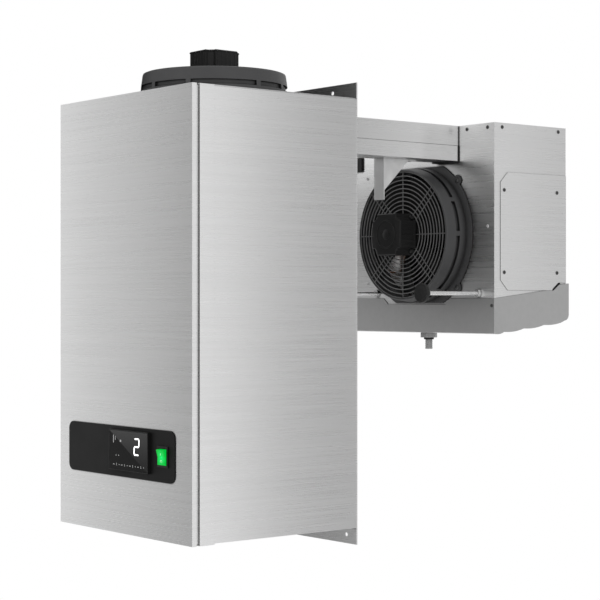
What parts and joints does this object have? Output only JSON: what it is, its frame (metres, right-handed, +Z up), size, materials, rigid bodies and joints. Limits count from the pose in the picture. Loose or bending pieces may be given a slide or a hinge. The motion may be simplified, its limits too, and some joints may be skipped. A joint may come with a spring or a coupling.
{
  "type": "monoblock refrigeration unit",
  "caption": "Wall-mounted cold-room cooling unit: stainless condensing cabinet with a top fan, joined by a bridge to an evaporator box with its fan and drip tray.",
  "frame": {"origin": "centre of the wall plate's back face, which lies on the outside of the cold room's wall", "axes": "+X to the right as seen from the front of the cabinet, +Y from the cabinet through the wall into the cold room, +Z up"},
  "size_m": [0.4086, 0.8866, 0.855],
  "materials": {
    "brushed_stainless": "horizontal brushed grain",
    "casing_stainless": "fine brushed grain",
    "zinc_sheet": "galvanised sheet",
    "fascia_black": "fine satin film",
    "controller_black": "satin moulding",
    "display_black": "polished dark window",
    "lit_white": "lit segments",
    "switch_black": "moulded bezel",
    "lit_green": "translucent, lit from inside",
    "terminal_beige": "moulded",
    "compressor_black": "semi-gloss black",
    "pump_iron": "cast",
    "rubber_black": "moulded rubber",
    "fin_aluminium": "thin fins",
    "copper": "drawn copper tube",
    "fan_grey": "grained moulding",
    "guard_grey": "coated wire",
    "motor_black": "coated casting",
    "impeller_black": "moulded",
    "foam": "rigid foam",
    "tray_grey": "satin grey",
    "drain_grey": "moulded",
    "bright_steel": "zinc-bright thread and nut",
    "screw_dark": "blackened heads"
  },
  "bodies": {
    "unit": {"front_panel": "brushed_stainless", "front_frame": "brushed_stainless", "side_panel_left": "brushed_stainless", "side_panel_right": "brushed_stainless", "top_panel": "brushed_stainless", "base_pan": "zinc_sheet", "wall_plate": "brushed_stainless", "fascia_plate": "fascia_black", "controller_body": "controller_black", "display_glass": "display_black", "display_digit": "lit_white", "rocker_frame": "switch_black", "control_box": "zinc_sheet", "control_box_cover": "zinc_sheet", "terminal_block": "terminal_beige", "compressor_shell": "compressor_black", "compressor_pump": "pump_iron", "compressor_grommets": "rubber_black", "compressor_terminal_cover": "switch_black", "condenser_fins": "fin_aluminium", "condenser_tubes": "copper", "cond_fan_ring": "fan_grey", "cond_fan_guard": "guard_grey", "cond_fan_motor": "motor_black", "filter_drier": "copper", "discharge_line": "copper", "liquid_line": "copper", "suction_line": "copper", "cable_gland": "switch_black", "bridge_channel": "casing_stainless", "bridge_cover": "casing_stainless", "bridge_insulation": "foam", "bridge_gasket": "rubber_black", "wall_hook": "zinc_sheet", "evap_front_panel": "casing_stainless", "evap_top_panel": "casing_stainless", "evap_side_left": "casing_stainless", "evap_side_right": "casing_stainless", "evap_cover_left": "casing_stainless", "evap_cover_right": "casing_stainless", "evap_rear_grille": "casing_stainless", "evap_fins": "fin_aluminium", "evap_tubes": "copper", "evap_fan_ring": "fan_grey", "evap_fan_guard": "guard_grey", "evap_fan_motor": "motor_black", "drip_tray": "tray_grey", "drain_spigot": "drain_grey", "drain_seal": "rubber_black", "spacer_nuts": "bright_steel", "cable_grommet": "rubber_black", "casing_screws": "screw_dark"},
    "condenser_impeller": {"cond_fan_impeller": "impeller_black"},
    "evaporator_impeller": {"evap_fan_impeller": "impeller_black"},
    "rocker": {"rocker_button": "lit_green"},
    "left_spacer": {"spacer_rod_left": "bright_steel", "spacer_foot_left": "rubber_black"},
    "right_spacer": {"spacer_rod_right": "bright_steel", "spacer_foot_right": "rubber_black"}
  },
  "joints": [
    {"name": "condenser_impeller_spin", "type": "hinge", "parent": "unit", "child": "condenser_impeller", "pos_m": [0, -0.15598, 0.39], "axis": [0, 0, 1], "continuous": true},
    {"name": "evaporator_impeller_spin", "type": "hinge", "parent": "unit", "child": "evaporator_impeller", "pos_m": [0, 0.31, 0.148], "axis": [0, 1, 0], "continuous": true},
    {"name": "rocker_tilt", "type": "hinge", "parent": "unit", "child": "rocker", "pos_m": [0.1225, -0.3445, -0.232], "axis": [1, 0, 0], "range_deg": [-14, 0]},
    {"name": "left_spacer_slide", "type": "slide", "parent": "unit", "child": "left_spacer", "axis": [0, -1, 0], "range_m": [-0.03, 0.01]},
    {"name": "right_spacer_slide", "type": "slide", "parent": "unit", "child": "right_spacer", "axis": [0, -1, 0], "range_m": [-0.03, 0.01]}
  ]
}
